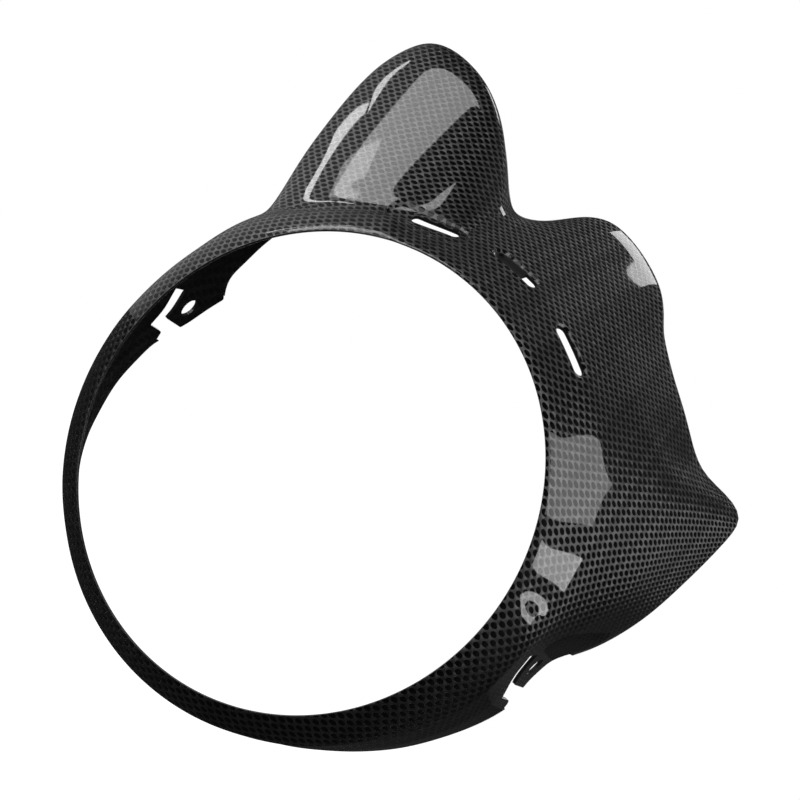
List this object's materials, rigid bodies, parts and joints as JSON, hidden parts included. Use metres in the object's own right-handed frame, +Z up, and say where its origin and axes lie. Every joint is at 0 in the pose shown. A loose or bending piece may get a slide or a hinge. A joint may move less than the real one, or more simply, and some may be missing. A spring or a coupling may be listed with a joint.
{
  "type": "headlight cowl",
  "caption": "Moulded carbon headlight cowl with a round lamp lip, a tall hood at one side, a flared wing at the other, vent slots over the lamp and drilled side ears.",
  "frame": {"origin": "centre of the round lamp opening, on the plane of its front lip", "axes": "+Y runs back through the opening towards the rider, +Z is up, +X is to the right of someone who faces the lamp"},
  "size_m": [0.2431, 0.1008, 0.2678],
  "materials": {
    "carbon_laminate": "clear-coated plain-weave carbon outside, satin twill laminate inside"
  },
  "bodies": {
    "root": {"cowl_shell": "carbon_laminate"}
  },
  "joints": []
}
